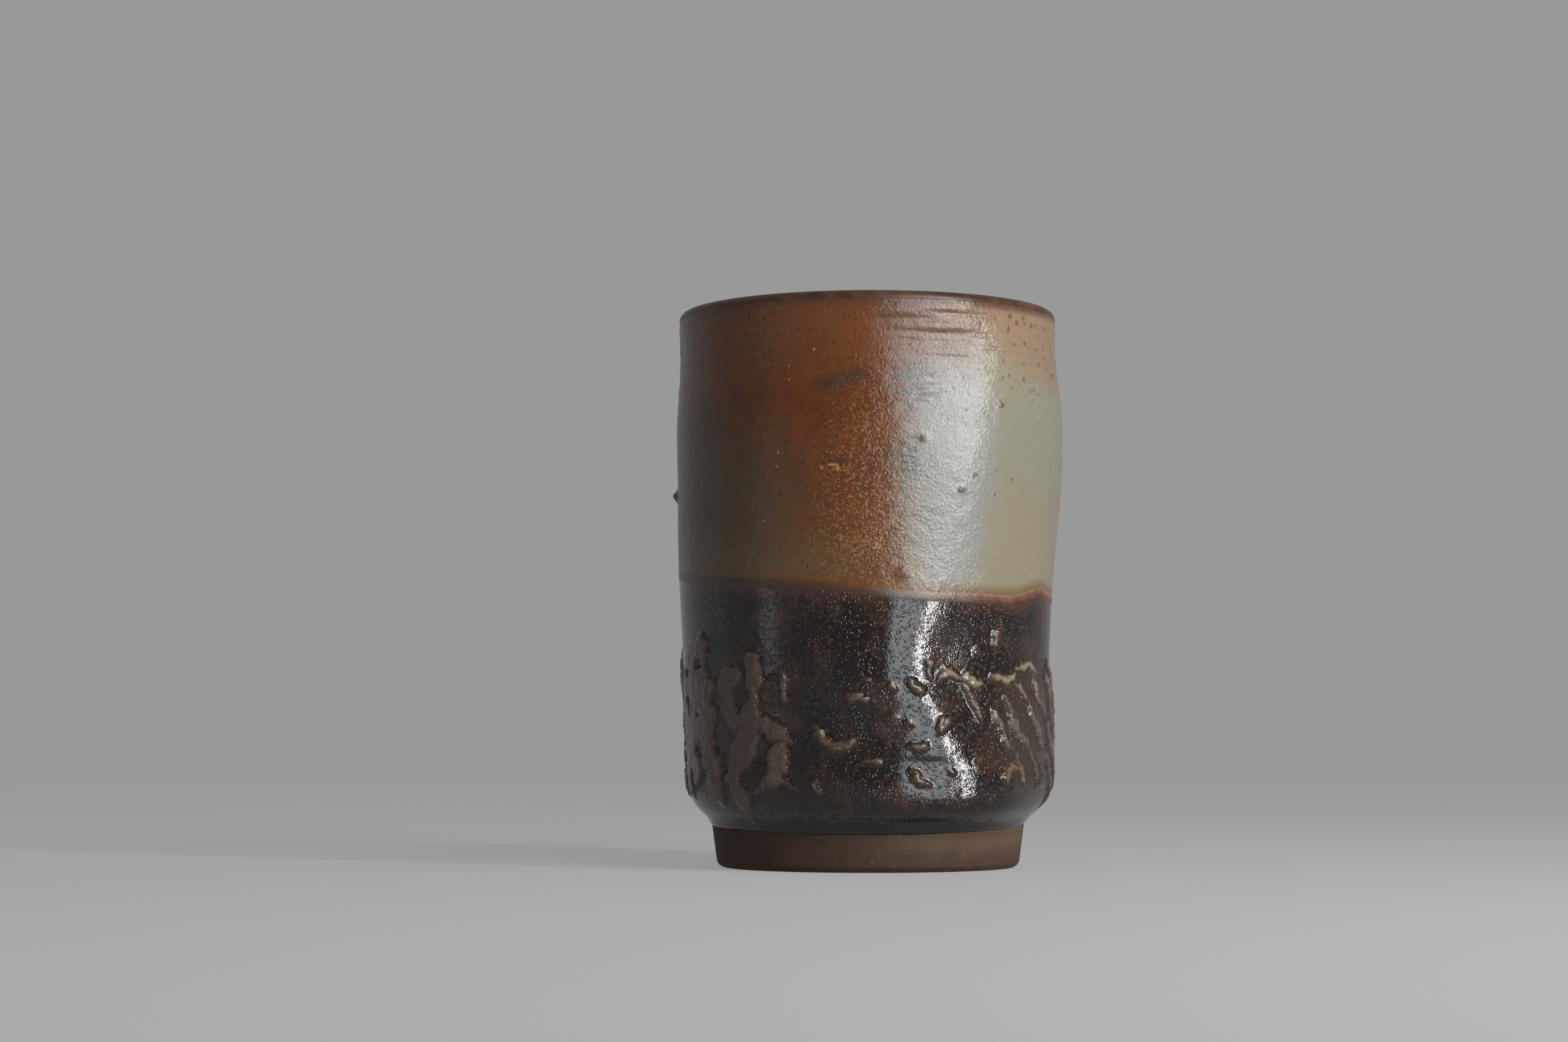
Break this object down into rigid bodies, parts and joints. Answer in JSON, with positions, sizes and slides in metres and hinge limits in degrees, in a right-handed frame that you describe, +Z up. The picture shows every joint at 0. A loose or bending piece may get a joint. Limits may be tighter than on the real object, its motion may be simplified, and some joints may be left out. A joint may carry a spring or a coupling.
{
  "type": "tea cup",
  "caption": "Tall handleless stoneware tea cup on a turned foot, with an ash-glazed upper wall, a dark glazed lower wall and raised strokes of slip.",
  "frame": {"origin": "centre of the foot's base, on the surface that the cup stands on", "axes": "+Z up along the cup's axis; -Y is the side that the picture shows, +X to its right"},
  "size_m": [0.068, 0.068, 0.0973],
  "materials": {
    "stoneware": "bare fired clay, matt, brown",
    "foot_clay": "bare fired clay, matt, brown, with fine turning lines",
    "liner_glaze": "gloss dark iron-brown glaze",
    "lip_glaze": "gloss brown glaze with a few pale specks",
    "upper_glaze": "gloss ash glaze, orange-brown to olive and grey-green, pitted like orange peel",
    "glaze_bead": "red-brown line where the two coats overlap",
    "dark_glaze": "gloss black-brown iron glaze with fine speckle",
    "slip_strokes": "raised slip under the dark glaze, which breaks to tan on it"
  },
  "bodies": {
    "root": {"clay_body": "stoneware", "foot_ring": "foot_clay", "liner_glaze": "liner_glaze", "lip_glaze": "lip_glaze", "upper_glaze": "upper_glaze", "glaze_bead": "glaze_bead", "dark_glaze": "dark_glaze", "slip_strokes": "slip_strokes"}
  },
  "joints": []
}
